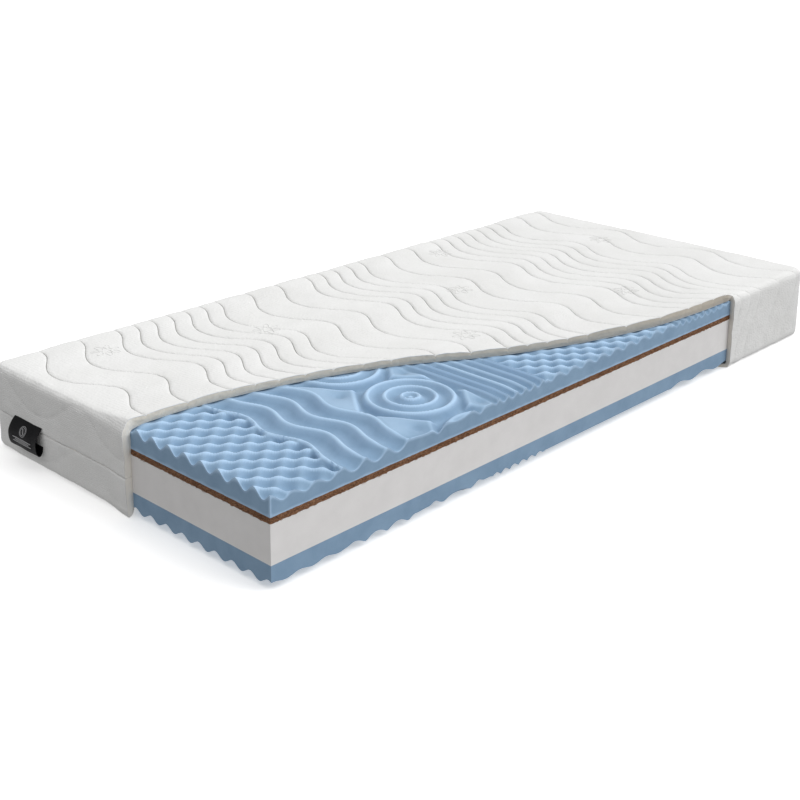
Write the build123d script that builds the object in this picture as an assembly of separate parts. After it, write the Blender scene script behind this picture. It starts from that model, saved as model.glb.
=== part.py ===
"""Single foam mattress in a removable quilted cover, shown with the cover cut away at one corner.

Units are millimetres. +X runs along the length, +Y across the width, +Z up. The origin is the
middle of the underside. The label end is at -X, and the long side with the zip is at +Y.
"""

from build123d import *
import os

# ---- Driving dimensions ----
LENGTH = 1900.0
WIDTH = 900.0
HEIGHT = 190.0
CORNER_R = 30.0          # upright corners of the cover
EDGE_R = 24.0            # top and bottom edges of the cover

COVER_T = 12.0           # cover on the top, the sides and the ends
COVER_BOTTOM_T = 9.0     # cover under the foam, pressed thinner by its weight
FABRIC_T = 1.2           # knitted outer fabric
LINING_T = 0.8           # non-woven backing that faces the foam

BASE_FOAM_T = 41.0
SUPPORT_FOAM_T = 79.0
COIR_T = 12.0
FOAM_CORNER_R = 12.0     # foam corners squeezed round by the closed cover

ZIP_Z = 86.0             # height of the seam between the upper and lower cover
CHANNEL_H = 14.0         # recess that holds the zip
CHANNEL_D = 9.0
ZIP_LAST_X = 890.0       # closed end of the zip on the long side
CHANNEL_LAST_X = 915.0
TAPE_T = 0.8
TAPE_DEPTH = 6.3         # tape's outer face, measured in from the side of the cover
TAPE_GAP = 2.0           # between the two tapes
COIL_W = 2.2
COIL_T = 1.6
COIL_GAP = 1.2           # between the two coils, where the slider's post passes

CUT_END_Y = -37.0        # where the cut leaves the label end
CUT_SIDE_X = 583.0       # where the cut turns out through the front long side
CUT_SIDE_Y = -441.0
FAR = 60.0               # overshoot of cutting tools
NEAR = 15.0              # overshoot of the zip's recess, outwards

LABEL_WIDTH = 103.0
LABEL_Y = 309.5          # middle of the label
LABEL_TOP_Z = 95.0
LABEL_BULGE = 19.0       # how far the looped label stands off the end
LABEL_BELLY_Z = 41.0     # where it stands off furthest
LABEL_HEEL_Z = 42.0      # where its folded-back end touches the cover again
LABEL_T = 0.8

# ---- Levels worked out from the thicknesses ----
BASE_FOAM_Z = COVER_BOTTOM_T
SUPPORT_FOAM_Z = BASE_FOAM_Z + BASE_FOAM_T
COIR_Z = SUPPORT_FOAM_Z + SUPPORT_FOAM_T
TOP_FOAM_Z = COIR_Z + COIR_T
CORE_TOP_Z = HEIGHT - COVER_T
END_X = LENGTH / 2
SIDE_Y = WIDTH / 2
CORE_X = END_X - COVER_T
CORE_Y = SIDE_Y - COVER_T


def block(x1, x2, y1, y2, z1, z2):
    """Box between two corners."""
    middle = Pos((x1 + x2) / 2, (y1 + y2) / 2, (z1 + z2) / 2)
    return middle * Box(x2 - x1, y2 - y1, z2 - z1)


def cover_block(inset):
    """The cover's outer form, moved in by inset on every face."""
    outline = RectangleRounded(LENGTH - 2 * inset, WIDTH - 2 * inset, CORNER_R - inset)
    solid = Pos(0, 0, inset) * extrude(outline, HEIGHT - 2 * inset)
    ends = solid.faces().sort_by(Axis.Z)
    return fillet(ends[0].edges() + ends[-1].edges(), EDGE_R - inset)


def core_block(z1, z2, grow=0.0):
    """The foam's outline between two levels: three rounded corners, and a sharp one where it is bare."""
    outline = Rectangle(2 * (CORE_X + grow), 2 * (CORE_Y + grow))
    covered = [v for v in outline.vertices() if v.X > 0 or v.Y > 0]
    outline = fillet(covered, FOAM_CORNER_R + grow)
    return Pos(0, 0, z1) * extrude(outline, z2 - z1)


def side_ring(depth1, depth2, z1, z2):
    """Band round the cover's sides, between two depths and two heights."""
    outer = RectangleRounded(LENGTH - 2 * depth1, WIDTH - 2 * depth1, CORNER_R - depth1)
    inner = RectangleRounded(LENGTH - 2 * depth2, WIDTH - 2 * depth2, CORNER_R - depth2)
    return Pos(0, 0, z1) * extrude(outer - inner, z2 - z1)


def zip_run(depth1, depth2, z1, z2, last_x):
    """Part of the side band along the zip's way: label end from the cut, corner, long side."""
    end = block(-END_X - FAR, -CORE_X + FAR, CUT_END_Y, SIDE_Y + FAR, z1, z2)
    side = block(-CORE_X, last_x, CORE_Y - FAR, SIDE_Y + FAR, z1, z2)
    return side_ring(depth1, depth2, z1, z2) & (end + side)


def cutaway():
    """What is cut off the cover: the front corner of the label end, along a long S-curve."""
    start = (-END_X - FAR, CUT_END_Y)
    curve = Spline(
        start,
        (-800, -41),
        (-550, -91),
        (-350, -166),
        (-150, -279),
        (50, -357),
        (250, -407),
        (CUT_SIDE_X, CUT_SIDE_Y),
    )
    edges = [
        curve,
        Line((CUT_SIDE_X, CUT_SIDE_Y), (CUT_SIDE_X, -SIDE_Y - FAR)),
        Line((CUT_SIDE_X, -SIDE_Y - FAR), (-END_X - FAR, -SIDE_Y - FAR)),
        Line((-END_X - FAR, -SIDE_Y - FAR), start),
    ]
    return Pos(0, 0, -FAR) * extrude(make_face(edges), HEIGHT + 2 * FAR)


def lower_half():
    """Space of the lower cover: bottom panel, and its skirt on all sides but the front one."""
    panel = block(-END_X, END_X, -SIDE_Y, SIDE_Y, 0, COVER_BOTTOM_T)
    skirt = block(-END_X, END_X, -CORE_Y, SIDE_Y, 0, ZIP_Z)
    return panel + skirt


def cover_layers():
    """Fabric, padding and lining of the whole cover, cut away and with the zip's recess."""
    recess = zip_run(-NEAR, CHANNEL_D, ZIP_Z - CHANNEL_H / 2, ZIP_Z + CHANNEL_H / 2, CHANNEL_LAST_X)
    outside = cover_block(0)
    under_fabric = cover_block(FABRIC_T)
    lined = core_block(BASE_FOAM_Z - LINING_T, CORE_TOP_Z + LINING_T, LINING_T)
    removed = cutaway()
    return {
        "fabric": outside - under_fabric - removed - recess,
        "padding": under_fabric - lined - removed - recess,
        "lining": lined - core_block(BASE_FOAM_Z, CORE_TOP_Z) - removed,
    }


def zip_halves():
    """The two zip tapes and the two coils sewn to them."""
    tape_reach = CHANNEL_H / 2
    coil_depth = TAPE_DEPTH - COIL_T
    parts = {}
    for name, side in (("upper", 1), ("lower", -1)):
        tape_z = sorted((ZIP_Z + side * TAPE_GAP / 2, ZIP_Z + side * tape_reach))
        coil_z = sorted((ZIP_Z + side * COIL_GAP / 2, ZIP_Z + side * (COIL_GAP / 2 + COIL_W)))
        parts[f"zip_{name}_tape"] = zip_run(
            TAPE_DEPTH, TAPE_DEPTH + TAPE_T, *tape_z, CHANNEL_LAST_X
        )
        parts[f"zip_{name}_coil"] = zip_run(coil_depth, TAPE_DEPTH, *coil_z, ZIP_LAST_X)
    return parts


# ---- Slider and pull, placed against the closed end of the zip ----
SLIDER_L = 14.0
SLIDER_H = 10.0
PLATE_T = 1.0
OUTER_PLATE_DEPTH = 3.4
INNER_PLATE_DEPTH = 7.5
POST_T = 0.8
POST_L = 4.0
BRIDGE_L = 9.0
BRIDGE_W = 2.2
BRIDGE_T = 0.9
BRIDGE_TOP_DEPTH = 0.5
BRIDGE_R = 1.2
PLATE_R = 2.5
PULL_BAR_R = 0.55
PULL_BAR_DEPTH = 2.4
PULL_T = 1.1
PULL_L = 24.0
PULL_H = 6.4
PULL_WINDOW_L = 6.5
PULL_ARM_IN = 1.6        # half the window's height
PULL_ARM_OUT = 2.6
PULL_TIP_R = 2.4
PULL_EYE = (16.5, 20.5)  # slot near the tip, from and to, along the tab
PULL_EYE_HALF = 1.2
STOP_L = 3.0
STOP_T = 2.0
STOP_HALF = 3.0
STOP_R = 0.6
PASS = 1.0               # overshoot of the slots cut through the pull
SLIDER_END_X = ZIP_LAST_X - 1.5
SLIDER_X = SLIDER_END_X - SLIDER_L / 2


def at_depth(x1, x2, depth1, depth2, half_height):
    """Box on the zip's line at the +Y side, given by its depth below the cover's side face."""
    return block(x1, x2, SIDE_Y - depth2, SIDE_Y - depth1, ZIP_Z - half_height, ZIP_Z + half_height)


def slider_body():
    """Two plates joined by a post between the coils, with a bridge that holds the pull."""
    x1 = SLIDER_X - SLIDER_L / 2
    outer = at_depth(x1, SLIDER_END_X, OUTER_PLATE_DEPTH, OUTER_PLATE_DEPTH + PLATE_T, SLIDER_H / 2)
    inner = at_depth(x1, SLIDER_END_X, INNER_PLATE_DEPTH, INNER_PLATE_DEPTH + PLATE_T, SLIDER_H / 2)
    plates = [fillet(p.edges().filter_by(Axis.Y), PLATE_R) for p in (outer, inner)]
    post_x = SLIDER_END_X - 2 * POST_L, SLIDER_END_X - POST_L
    post = at_depth(*post_x, OUTER_PLATE_DEPTH + PLATE_T / 2, INNER_PLATE_DEPTH + PLATE_T / 2, POST_T / 2)
    half = BRIDGE_L / 2
    arch = at_depth(
        SLIDER_X - half, SLIDER_X + half, BRIDGE_TOP_DEPTH, OUTER_PLATE_DEPTH + PLATE_T / 2, BRIDGE_W / 2
    )
    arch = fillet(arch.edges().filter_by(Axis.Z).group_by(Axis.Y)[-1], BRIDGE_R)
    opening = at_depth(
        SLIDER_X - half + BRIDGE_T,
        SLIDER_X + half - BRIDGE_T,
        BRIDGE_TOP_DEPTH + BRIDGE_T,
        OUTER_PLATE_DEPTH,
        BRIDGE_W,
    )
    return plates[0] + plates[1] + post + (arch - opening)


def slider_pull():
    """Tab whose end bar is held under the bridge, lying along the zip."""
    face = PULL_BAR_DEPTH - PULL_T / 2
    back = PULL_BAR_DEPTH + PULL_T / 2
    tab = at_depth(SLIDER_X - PULL_L, SLIDER_X - PULL_WINDOW_L, face, back, PULL_H / 2)
    tip = tab.edges().filter_by(Axis.Y).group_by(Axis.X)[0]
    tab = fillet(tip, PULL_TIP_R)
    frame = at_depth(SLIDER_X - PULL_WINDOW_L - PASS, SLIDER_X, face, back, PULL_ARM_OUT)
    inside = face - PASS, back + PASS
    window = at_depth(SLIDER_X - PULL_WINDOW_L, SLIDER_X + PASS, *inside, PULL_ARM_IN)
    eye = at_depth(SLIDER_X - PULL_EYE[1], SLIDER_X - PULL_EYE[0], *inside, PULL_EYE_HALF)
    bar = Pos(SLIDER_X, SIDE_Y - PULL_BAR_DEPTH, ZIP_Z) * Cylinder(PULL_BAR_R, 2 * PULL_ARM_OUT)
    return (tab - eye) + (frame - window) + bar


def end_stop():
    """Small clamp across both coils that stops the slider at the closed end."""
    stop = at_depth(ZIP_LAST_X, ZIP_LAST_X + STOP_L, TAPE_DEPTH - STOP_T, TAPE_DEPTH, STOP_HALF)
    return fillet(stop.edges().filter_by(Axis.Y), STOP_R)


def label():
    """Ribbon folded into a loop and sewn to the end, so that it hangs bowed out."""
    back = -END_X
    front = -END_X - LABEL_BULGE
    top = (back, LABEL_TOP_Z)
    belly = (front, LABEL_BELLY_Z)
    heel = (back, LABEL_HEEL_Z)
    upper_way = (back - 0.67 * LABEL_BULGE, LABEL_TOP_Z - 22)
    lower_way = (back - 0.53 * LABEL_BULGE, LABEL_BELLY_Z - 7.5)
    outline = make_face([
        ThreePointArc(top, upper_way, belly),
        ThreePointArc(belly, lower_way, heel),
        Line(heel, top),
    ])
    ring = outline - offset(outline, -LABEL_T)
    side = Plane(origin=(0, LABEL_Y + LABEL_WIDTH / 2, 0), x_dir=(1, 0, 0), z_dir=(0, -1, 0))
    return extrude(side * ring, LABEL_WIDTH, dir=(0, -1, 0))


def all_parts():
    """Every piece of the mattress by its node name."""
    parts = {
        "base_profiled_foam": core_block(BASE_FOAM_Z, SUPPORT_FOAM_Z),
        "support_foam": core_block(SUPPORT_FOAM_Z, COIR_Z),
        "coir_layer": core_block(COIR_Z, TOP_FOAM_Z),
        "top_profiled_foam": core_block(TOP_FOAM_Z, CORE_TOP_Z),
    }
    low = lower_half()
    for layer, shell in cover_layers().items():
        parts[f"upper_cover_{layer}"] = shell - low
        parts[f"lower_cover_{layer}"] = shell & low
    parts.update(zip_halves())
    parts["zip_end_stop"] = end_stop()
    parts["zip_slider"] = slider_body()
    parts["zip_pull"] = slider_pull()
    parts["label_loop"] = label()
    return parts


os.makedirs("parts", exist_ok=True)
for node, shape in all_parts().items():
    export_step(shape, f"parts/{node}.step")
    print(node, len(shape.solids()), round(shape.volume))
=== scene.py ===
"""Looks of a single foam mattress in a quilted cover that is cut away to show its layers.

Metres, in the part's frame: X along the length, Y across the width, Z up. The label end is at -X,
the cut-away long side at -Y and the zip on the far long side at +Y.
"""

import math

import bpy
import numpy as np
from mathutils import Matrix, Vector


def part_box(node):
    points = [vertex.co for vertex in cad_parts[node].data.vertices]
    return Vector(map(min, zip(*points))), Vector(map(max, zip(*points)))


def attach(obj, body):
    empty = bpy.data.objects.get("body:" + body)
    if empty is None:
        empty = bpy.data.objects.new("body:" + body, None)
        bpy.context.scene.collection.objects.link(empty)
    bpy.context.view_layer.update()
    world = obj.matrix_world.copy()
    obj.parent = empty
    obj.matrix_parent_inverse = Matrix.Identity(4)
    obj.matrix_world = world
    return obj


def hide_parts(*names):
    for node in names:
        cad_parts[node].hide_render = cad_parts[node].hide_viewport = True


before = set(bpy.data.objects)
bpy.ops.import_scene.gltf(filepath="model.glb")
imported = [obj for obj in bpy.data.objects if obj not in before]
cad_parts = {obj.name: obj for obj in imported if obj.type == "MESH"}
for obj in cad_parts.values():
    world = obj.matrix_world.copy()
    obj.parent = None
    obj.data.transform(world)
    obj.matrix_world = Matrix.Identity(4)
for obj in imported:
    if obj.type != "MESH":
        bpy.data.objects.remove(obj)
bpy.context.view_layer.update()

TURN = 2 * math.pi


def corners(node):
    """Lowest and highest corner of a CAD node, as arrays."""
    return [np.array(corner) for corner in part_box(node)]


# ---- Sizes read from the frame ----
END_X, SIDE_Y, TOP_Z = corners("upper_cover_fabric")[1]
CORE_LO, CORE_HI = corners("top_profiled_foam")
CORE_X, CORE_Y, CORE_TOP = CORE_HI
COIR_LO, COIR_HI = corners("coir_layer")
BLOCK_LO, BLOCK_HI = corners("support_foam")
BASE_LO, BASE_HI = corners("base_profiled_foam")
LABEL_LO, LABEL_HI = corners("label_loop")
COVER_T = TOP_Z - CORE_TOP
BOTTOM_T = BASE_LO[2]
ZIP_Z = sum(c[2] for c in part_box("zip_slider")) / 2

# ---- Cover ----
EDGE_R = 0.018           # top and bottom edges
CORNER_R = 0.030         # upright corners
KNIT_SHARE = 0.07        # share of the cover's thickness that is the knit
LINING_SHARE = 0.95      # the lining starts at this share
LOWER_RECESS = 0.040     # the bottom panel is cut this far behind the top one
RECESS_START = (-0.945, -0.908)    # the zip's recess opens along the long side from here to here
RECESS_END = (0.932, 0.908)        # and from here to here, coming from the far end

# ---- The cut, seen from above: an S-curve from the label end to the front long side ----
CUT_POINTS = np.array([
    (-1.010, -0.037),
    (-0.800, -0.041),
    (-0.550, -0.091),
    (-0.350, -0.166),
    (-0.150, -0.279),
    (0.050, -0.357),
    (0.250, -0.407),
    (0.583, -0.441),
])
CUT_END_Y = CUT_POINTS[0][1]
CUT_SIDE_X, CUT_SIDE_Y = CUT_POINTS[-1]

# ---- Quilting: wavy lines that run across the mattress ----
WIDE = 0.097
NARROW = WIDE / 2
GAPS = [WIDE] * 2 + [NARROW] * 6 + [WIDE] * 3 + [NARROW] * 4 + [WIDE] * 3 + [NARROW] * 6 + [WIDE] * 2
LINE_X = np.concatenate([[0.0], np.cumsum(GAPS)]) - sum(GAPS) / 2
END_LINES = END_X + 0.043 + WIDE * np.arange(3)
ALL_LINES = np.concatenate([-END_LINES[::-1], LINE_X, END_LINES])
WAVE_PITCH = 0.300
WAVE_PHASE = 0.275
WAVE_A = 0.031
WAVE_B = 0.003


def smooth(value, start, end):
    """0 before start, 1 after end, with a smooth ramp between."""
    t = np.clip((value - start) / (end - start), 0, 1)
    return t * t * (3 - 2 * t)


def cut_y(x):
    """How far forward the cover reaches at x, along the cut."""
    px, py = CUT_POINTS.T
    slope = np.gradient(py, px)
    i = np.clip(np.searchsorted(px, x) - 1, 0, len(px) - 2)
    h = px[i + 1] - px[i]
    t = (x - px[i]) / h
    return (
        py[i] * (1 + 2 * t) * (1 - t) ** 2
        + slope[i] * h * t * (1 - t) ** 2
        + py[i + 1] * t * t * (3 - 2 * t)
        - slope[i + 1] * h * t * t * (1 - t)
    )


def line_wave(y):
    """Sideways swing of every quilting line at y."""
    a = TURN * (y - WAVE_PHASE) / WAVE_PITCH
    return -WAVE_A * np.cos(a) + WAVE_B * np.cos(2 * a)


def unevenness(s, t, seed, count, shortest, longest):
    """Smooth random relief between about -1 and 1: a sum of plane waves."""
    rng = np.random.default_rng(seed)
    total = np.zeros_like(s)
    for _ in range(count):
        direction = rng.uniform(0, TURN)
        length = rng.uniform(shortest, longest)
        phase = rng.uniform(0, TURN)
        total += np.sin(TURN * (s * math.cos(direction) + t * math.sin(direction)) / length + phase)
    return total / math.sqrt(count)


# ======== Meshes ========


def grid_quads(rows, columns):
    """Faces of a grid of points stored row by row."""
    a = np.arange(rows * columns).reshape(rows, columns)
    return np.stack([a[:-1, :-1], a[:-1, 1:], a[1:, 1:], a[1:, :-1]], -1).reshape(-1, 4)


def tube_quads(count, steps, sides, closed):
    """Faces of many tubes whose points are stored tube by tube and ring by ring."""
    base = (np.arange(count) * steps * sides)[:, None, None]
    j = np.arange(steps if closed else steps - 1)[None, :, None]
    k = np.arange(sides)[None, None, :]
    n = (k + 1) % sides
    ring = base + j * sides
    after = base + (j + 1) % steps * sides
    return np.stack([ring + k, ring + n, after + n, after + k], -1).reshape(-1, 4)


def tube_points(lines, first, second, radius, sides):
    """Rings of points round every point of many lines, in the plane of two directions."""
    turns = TURN * np.arange(sides) / sides
    rings = [lines + (first * math.cos(a) + second * math.sin(a)) * radius for a in turns]
    return np.stack(rings, 2).reshape(-1, 3)


def weld(grids):
    """One set of points and faces from several grids of points that share edges."""
    points = np.concatenate([grid.reshape(-1, 3) for grid in grids])
    starts = np.cumsum([0] + [grid.size // 3 for grid in grids])
    faces = np.concatenate([grid_quads(*grid.shape[:2]) + start for grid, start in zip(grids, starts)])
    key = np.round(points * 1e6).astype(np.int64)
    _, first, inverse = np.unique(key, axis=0, return_index=True, return_inverse=True)
    return points[first], inverse.reshape(-1)[faces]


def rim_edges(faces):
    """Directed edges that belong to one face only."""
    edges = np.concatenate([faces[:, [i, (i + 1) % 4]] for i in range(4)])
    key = np.sort(edges, 1)
    _, index, count = np.unique(key, axis=0, return_index=True, return_counts=True)
    return edges[index[count == 1]]


def unit(v):
    return v / np.maximum(np.linalg.norm(v, axis=-1, keepdims=True), 1e-12)


def shell(outer, inner, faces, steps=1, bulge=0.0, rough=0.0, seed=1):
    """Closed body between two surfaces with the same faces. Its rim has steps rows and swells outwards.
    Returns points, faces and for each face 0 outside, 1 rim, 2 inside."""
    count = len(outer)
    edges = rim_edges(faces)
    along = np.zeros_like(outer)
    for end in (0, 1):
        np.add.at(along, edges[:, end], unit(outer[edges[:, 1]] - outer[edges[:, 0]]))
    outward = unit(np.cross(along, outer - inner))
    rim = np.unique(edges)
    place = np.full(count, -1)
    place[rim] = np.arange(len(rim))
    rng = np.random.default_rng(seed)
    rings = [rim]
    points = [outer, inner]
    total = 2 * count
    for k in range(1, steps):
        share = k / steps
        swell = bulge * 4 * share * (1 - share) * (1 + 0.25 * rng.standard_normal(len(rim)))
        swell = swell + rough * rng.standard_normal(len(rim))
        mid = outer[rim] * (1 - share) + inner[rim] * share + outward[rim] * swell[:, None]
        points.append(mid)
        rings.append(np.arange(total, total + len(rim)))
        total += len(rim)
    rings.append(rim + count)
    a, b = place[edges[:, 0]], place[edges[:, 1]]
    strips = [np.stack([r1[b], r1[a], r2[a], r2[b]], -1) for r1, r2 in zip(rings, rings[1:])]
    strips = np.concatenate(strips)
    all_faces = np.concatenate([faces, strips, faces[:, ::-1] + count])
    kind = np.repeat([0, 1, 2], [len(faces), len(strips), len(faces)])
    return np.concatenate(points), all_faces, kind


def sharpen_borders(mesh, groups):
    """Marks the edges between faces of different groups as sharp."""
    loops = np.empty(len(mesh.loops), np.int32)
    mesh.loops.foreach_get("edge_index", loops)
    sizes = np.empty(len(mesh.polygons), np.int32)
    mesh.polygons.foreach_get("loop_total", sizes)
    group = np.repeat(groups, sizes)
    low = np.full(len(mesh.edges), 99)
    high = np.full(len(mesh.edges), -1)
    np.minimum.at(low, loops, group)
    np.maximum.at(high, loops, group)
    sharp = np.empty(len(mesh.edges), bool)
    mesh.edges.foreach_get("use_edge_sharp", sharp)
    mesh.edges.foreach_set("use_edge_sharp", sharp | (low != high))


def add_object(name, data):
    """New object in the scene."""
    thing = bpy.data.objects.new(name, data)
    bpy.context.scene.collection.objects.link(thing)
    return thing


def make_piece(name, points, faces, material, groups=None, crease=50):
    """Smooth-shaded mesh that rides on the mattress, with sharp borders between its groups of faces."""
    mesh = bpy.data.meshes.new(name)
    faces = faces.tolist() if isinstance(faces, np.ndarray) else faces
    mesh.from_pydata(points.tolist(), [], faces)
    mesh.materials.append(material)
    mesh.polygons.foreach_set("use_smooth", np.ones(len(mesh.polygons), bool))
    mesh.set_sharp_from_angle(angle=math.radians(crease))
    if groups is not None:
        sharpen_borders(mesh, groups)
    mesh.update()
    piece = add_object(name, mesh)
    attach(piece, "mattress")
    return piece


# ======== Materials ========


class Nodes:
    """A new material's or world's node tree, with a short way to add nodes."""

    def __init__(self, name, kind=bpy.data.materials, shader="Principled BSDF"):
        self.owner = kind.new(name)
        self.owner.use_nodes = True
        self.tree = self.owner.node_tree
        self.shader = self.tree.nodes[shader]

    def add(self, kind, inputs=(), **settings):
        """New node; inputs maps a socket's name or number to a value or an output socket."""
        node = self.tree.nodes.new("ShaderNode" + kind)
        for key, value in settings.items():
            setattr(node, key, value)
        for key, value in dict(inputs).items():
            self.plug(node.inputs[key], value)
        return node

    def plug(self, socket, value):
        """Links an output to the socket, or sets the socket's own value."""
        if isinstance(value, bpy.types.NodeSocket):
            self.tree.links.new(value, socket)
        else:
            socket.default_value = (*value, 1) if socket.type == "RGBA" else value

    def surface(self, **inputs):
        """Sets or links the shader's sockets and returns what the tree belongs to."""
        for key, value in inputs.items():
            self.plug(self.shader.inputs[key.replace("_", " ")], value)
        return self.owner

    def place(self):
        return self.add("TexCoord").outputs["Object"]

    def stretched(self, scale):
        """Object coordinates multiplied by scale, for grain that runs one way."""
        return self.add("Mapping", {"Vector": self.place(), "Scale": scale}).outputs["Vector"]

    def noise(self, scale, vector=None, detail=3.0, rough=0.55):
        inputs = {"Scale": scale, "Detail": detail, "Roughness": rough, "Vector": vector or self.place()}
        return self.add("TexNoise", inputs).outputs["Fac"]

    def cells(self, scale, vector=None, feature="F1", random=1.0):
        inputs = {"Scale": scale, "Randomness": random, "Vector": vector or self.place()}
        return self.add("TexVoronoi", inputs, feature=feature).outputs["Distance"]

    def math(self, operation, a, b=0.0, clamp=False):
        return self.add("Math", {0: a, 1: b}, operation=operation, use_clamp=clamp).outputs[0]

    def times(self, a, b, clamp=False):
        return self.math("MULTIPLY", a, b, clamp)

    def ramp(self, value, *stops):
        """Colour ramp with (position, colour) stops."""
        node = self.add("ValToRGB", {"Fac": value})
        elements = node.color_ramp.elements
        while len(elements) < len(stops):
            elements.new(0.5)
        for element, (position, colour) in zip(elements, stops):
            element.position = position
            element.color = (*colour, 1)
        return node.outputs["Color"]

    def mix(self, share, a, b):
        node = self.add("Mix", {"Factor": share}, data_type="RGBA")
        colours = [socket for socket in node.inputs if socket.type == "RGBA"]
        for socket, value in zip(colours, (a, b)):
            self.plug(socket, value)
        return [socket for socket in node.outputs if socket.type == "RGBA"][0]

    def by_bulge(self, low, high, start, end):
        """Start to end as the mesh turns from hollow, low, to bulging, high."""
        bulge = self.add("NewGeometry").outputs["Pointiness"]
        return self.ramp(bulge, (low, (start,) * 3), (high, (end,) * 3))

    def along(self, axis, low, high, place=None, ends=(0, 1)):
        """The first end to the second, from low to high along an axis."""
        value = self.add("SeparateXYZ", {"Vector": place or self.place()}).outputs[axis]
        inputs = {"Value": value, "From Min": low, "From Max": high, "To Min": ends[0], "To Max": ends[1]}
        return self.add("MapRange", inputs).outputs["Result"]

    def stripes(self, scale, distortion, axis):
        """Soft stripes that follow each other along an axis."""
        inputs = {"Scale": scale, "Distortion": distortion, "Vector": self.place()}
        return self.add("TexWave", inputs, bands_direction=axis).outputs["Fac"]

    def relief(self, *layers):
        """Bumps on top of each other, each with its height, its depth in metres and its strength."""
        normal = {}
        for height, depth, strength in layers:
            inputs = {"Height": height, "Distance": depth, "Strength": strength, **normal}
            normal = {"Normal": self.add("Bump", inputs).outputs["Normal"]}
        return normal["Normal"]


def knit_material():
    """White jacquard knit: rows of small raised loops, soft dimples, a little sheen and painted shade in the
    quilting grooves.
    """
    m = Nodes("knit")
    loops = m.cells(1.0, m.stretched((120, 230, 230)), random=0.45)
    fuzz = m.noise(2600.0, detail=2.0)
    patches = m.noise(9.0, detail=2.0)
    shade = m.ramp(patches, (0.30, (0.85, 0.85, 0.84)), (0.70, (0.90, 0.90, 0.895)))
    colour = m.mix(m.times(loops, 0.30, clamp=True), shade, (0.68, 0.68, 0.66))
    # Painted shade: the knit turns darker in the quilting grooves and other hollows.
    colour = m.mix(m.by_bulge(0.44, 0.495, 1, 0), colour, (0.42, 0.42, 0.40))
    relief = m.relief((fuzz, 0.00012, 0.5), (m.times(loops, -1.0), 0.0013, 0.85))
    return m.surface(
        Base_Color=colour, Roughness=0.86, Normal=relief, Specular_IOR_Level=0.2,
        Sheen_Weight=0.12, Sheen_Roughness=0.45,
    )


def wadding_material(name, x_greying):
    """Cream polyester wadding: matted fibres, greyer towards +X by the given share.
    Painted light makes it palest at the label end and on the upright edge where the cut leaves the top,
    where it lies in shade."""
    m = Nodes(name)
    mat = m.noise(1.0, m.stretched((260, 260, 900)), detail=6.0, rough=0.7)
    tufts = m.noise(95.0, detail=4.0)
    shade = m.ramp(tufts, (0.30, (0.62, 0.56, 0.47)), (0.68, (0.76, 0.70, 0.60)))
    colour = m.mix(m.times(mat, 0.5), shade, (0.80, 0.76, 0.68))
    # Darker and greyer towards +X.
    greyer_along_x = m.times(m.along("X", -1.00, 0.15), x_greying)
    colour = m.mix(greyer_along_x, colour, (0.42, 0.38, 0.32))
    # Painted light on the upright edge where the cut leaves the top.
    painted_light_upright_edge = m.times(m.along("X", 0.565, 0.590), 0.95)
    colour = m.mix(painted_light_upright_edge, colour, (0.88, 0.85, 0.80))
    # Painted light on the strip at the label end, which lies in the foam's shadow.
    colour = m.mix(m.along("X", -0.925, -0.945), colour, (0.96, 0.93, 0.87))
    relief = m.relief((tufts, 0.0016, 0.8), (mat, 0.0006, 0.8))
    return m.surface(
        Base_Color=colour, Roughness=0.95, Normal=relief, Specular_IOR_Level=0.15,
        Sheen_Weight=0.2, Sheen_Roughness=0.6,
    )


def lining_material():
    """White non-woven backing with a grid of pressed points."""
    m = Nodes("lining")
    points = m.cells(420.0, random=0.1)
    fibres = m.noise(700.0, detail=5.0, rough=0.7)
    colour = m.ramp(fibres, (0.3, (0.62, 0.61, 0.58)), (0.7, (0.76, 0.75, 0.72)))
    relief = m.relief((fibres, 0.0002, 0.6), (points, 0.0003, 0.6))
    return m.surface(Base_Color=colour, Roughness=0.9, Normal=relief, Specular_IOR_Level=0.2)


def scaled(colour, factor):
    return tuple(factor * c for c in colour)


def foam_material(name, dark, light, cell_size, crest_z=None):
    """Open-cell foam: fine pores and a soft mottle. With a crest_z, painted highlight makes the ridges above
    it and the sharp crests paler, and painted shade darkens the hollows.
    """
    m = Nodes(name)
    pores = m.cells(1 / cell_size)
    grain = m.noise(0.6 / cell_size, detail=4.0, rough=0.65)
    mottle = m.noise(24.0, detail=3.0)
    colour = m.ramp(mottle, (0.32, dark), (0.68, light))
    if crest_z is not None:
        # Painted highlight: paler above crest_z and on sharp crests.
        high = m.times(m.along("Z", crest_z, crest_z + 0.012), 0.55)
        sharp = m.times(m.by_bulge(0.505, 0.545, 0, 1), 0.60)
        painted_crest_light = m.math("ADD", high, sharp, clamp=True)
        colour = m.mix(painted_crest_light, colour, tuple(min(1.0, c * 1.35 + 0.10) for c in light))
        # Painted shade: darker in the hollows of the profile.
        hollow = m.times(m.by_bulge(0.440, 0.496, 1, 0), 0.28)
        colour = m.mix(hollow, colour, scaled(dark, 0.6))
    pit = m.ramp(pores, (0.02, (1, 1, 1)), (0.25, (0, 0, 0)))
    colour = m.mix(m.times(pit, 0.35), colour, scaled(dark, 0.62))
    relief = m.relief((grain, cell_size * 0.35, 0.55), (pores, cell_size * 0.4, 0.45))
    return m.surface(
        Base_Color=colour, Roughness=0.93, Normal=relief, Specular_IOR_Level=0.2,
        Sheen_Weight=0.15, Sheen_Roughness=0.5,
    )


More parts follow.
